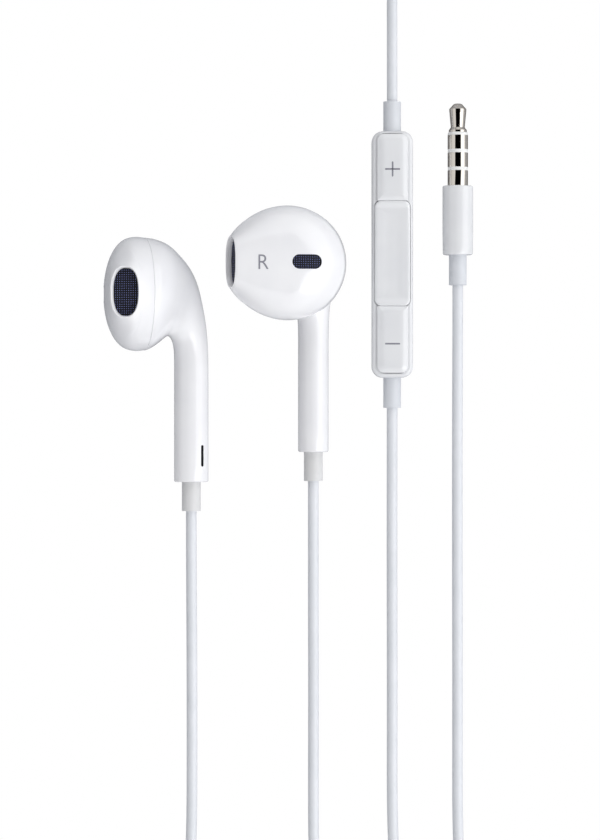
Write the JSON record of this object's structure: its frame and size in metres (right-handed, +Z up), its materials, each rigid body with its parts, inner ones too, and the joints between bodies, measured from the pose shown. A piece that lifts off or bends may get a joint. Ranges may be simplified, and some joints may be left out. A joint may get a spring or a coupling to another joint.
{
  "type": "wired earphones",
  "caption": "White in-ear earphones on stems, with an inline remote with volume and centre keys, a splitter, soft round cords and a slim audio plug.",
  "frame": {"origin": "on the table, under the middle of the buds and the remote", "axes": "+Z up from the table, +Y from the stems' ends to the heads and along the remote and the plug, +X from the left bud to the remote"},
  "size_m": [0.0934, 0.2071, 0.0211],
  "materials": {
    "white_shell": "glossy moulded white ABS",
    "white_key": "glossy moulded white ABS",
    "bud_collar": "soft satin light grey elastomer",
    "cord_collar": "soft satin bluish grey elastomer",
    "cord_jacket": "satin elastomer jacket",
    "dark_mesh": "fine woven acoustic mesh",
    "dark_plastic": "moulded black plastic",
    "plated_steel": "nickel-plated steel",
    "copper_wire": "enamelled copper",
    "clear_film": "thin translucent film",
    "circuit_board": "green solder mask",
    "contact_metal": "bright nickel plating",
    "contact_insulator": "white moulded rings"
  },
  "bodies": {
    "earphones": {"left_cap_vent_mesh": "dark_mesh", "left_coil": "cord_jacket", "left_cord": "cord_jacket", "left_cord_tail": "cord_jacket", "left_driver_frame": "dark_plastic", "left_driver_magnet": "plated_steel", "left_driver_yoke": "plated_steel", "left_front_cap": "white_shell", "left_front_gasket": "dark_plastic", "left_inner_leads": "copper_wire", "left_nozzle_mesh": "dark_mesh", "left_pole_plate": "plated_steel", "left_rear_shell": "white_shell", "left_stem_vent_mesh": "dark_mesh", "left_strain_relief": "bud_collar", "left_terminal_board": "circuit_board", "main_coil": "cord_jacket", "main_cord": "cord_jacket", "main_cord_tail": "cord_jacket", "plug_first_ring_contact": "contact_metal", "plug_housing": "white_shell", "plug_insulator": "contact_insulator", "plug_second_ring_contact": "contact_metal", "plug_sleeve_contact": "contact_metal", "plug_solder_terminals": "contact_metal", "plug_strain_relief": "cord_collar", "plug_tip_contact": "contact_metal", "remote_back_shell": "white_shell", "remote_circuit_board": "circuit_board", "remote_cord": "cord_jacket", "remote_front_frame": "white_shell", "remote_key_switches": "plated_steel", "remote_lower_strain_relief": "cord_collar", "remote_microphone": "plated_steel", "remote_microphone_mesh": "dark_mesh", "remote_upper_strain_relief": "cord_collar", "right_cap_vent_mesh": "dark_mesh", "right_cord": "cord_jacket", "right_driver_frame": "dark_plastic", "right_driver_magnet": "plated_steel", "right_driver_yoke": "plated_steel", "right_front_cap": "white_shell", "right_front_gasket": "dark_plastic", "right_inner_leads": "copper_wire", "right_nozzle_mesh": "dark_mesh", "right_pole_plate": "plated_steel", "right_rear_shell": "white_shell", "right_stem_vent_mesh": "dark_mesh", "right_strain_relief": "bud_collar", "right_terminal_board": "circuit_board", "splitter": "cord_collar"},
    "volume_up_key": {"volume_up_key": "white_key"},
    "centre_key": {"centre_key": "white_key"},
    "volume_down_key": {"volume_down_key": "white_key"},
    "left_speaker_cone": {"left_diaphragm": "clear_film", "left_voice_coil": "cord_jacket"},
    "right_speaker_cone": {"right_diaphragm": "clear_film", "right_voice_coil": "cord_jacket"}
  },
  "joints": [
    {"name": "volume_up_key_press", "type": "slide", "parent": "earphones", "child": "volume_up_key", "axis": [0, 0, -1], "range_m": [0, 0.00025], "stiffness_N_per_m": 6000},
    {"name": "centre_key_press", "type": "slide", "parent": "earphones", "child": "centre_key", "axis": [0, 0, -1], "range_m": [0, 0.00025], "stiffness_N_per_m": 6000},
    {"name": "volume_down_key_press", "type": "slide", "parent": "earphones", "child": "volume_down_key", "axis": [0, 0, -1], "range_m": [0, 0.00025], "stiffness_N_per_m": 6000},
    {"name": "left_speaker_stroke", "type": "slide", "parent": "earphones", "child": "left_speaker_cone", "axis": [-0.9736, 0, 0.2284], "range_m": [-0.00015, 0.00015], "stiffness_N_per_m": 400},
    {"name": "right_speaker_stroke", "type": "slide", "parent": "earphones", "child": "right_speaker_cone", "axis": [0, 0, 1], "range_m": [-0.00015, 0.00015], "stiffness_N_per_m": 400}
  ]
}
